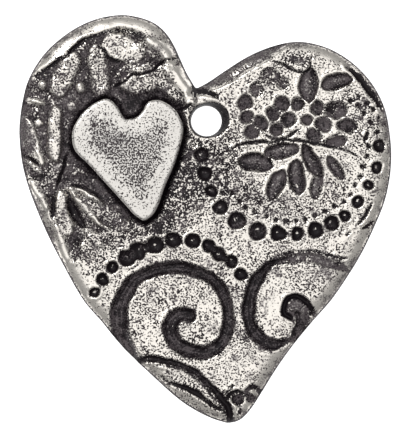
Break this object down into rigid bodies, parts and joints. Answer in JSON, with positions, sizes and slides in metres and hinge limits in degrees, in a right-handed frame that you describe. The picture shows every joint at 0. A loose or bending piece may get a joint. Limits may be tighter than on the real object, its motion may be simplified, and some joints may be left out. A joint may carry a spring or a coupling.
{
  "type": "heart-shaped pendant",
  "caption": "Heart-shaped cast pewter pendant with a worn, stamped pattern of scrolls, flowers and leaves, a plain raised little heart, and a hanging hole by the cleft.",
  "frame": {"origin": "on the axis of the hanging hole, in the plane of the flat back", "axes": "+Z out of the decorated face, +Y from the hanging hole towards the cleft between the lobes, +X to the right as the face is seen"},
  "size_m": [0.032, 0.0351, 0.0035],
  "materials": {
    "antiqued_pewter": "cast pewter with dark patina in the recesses and worn bright edges",
    "plain_pewter": "cast pewter, worn smooth, with a faint dark speckle"
  },
  "bodies": {
    "root": {"pendant_body": "antiqued_pewter", "little_heart": "plain_pewter"}
  },
  "joints": []
}
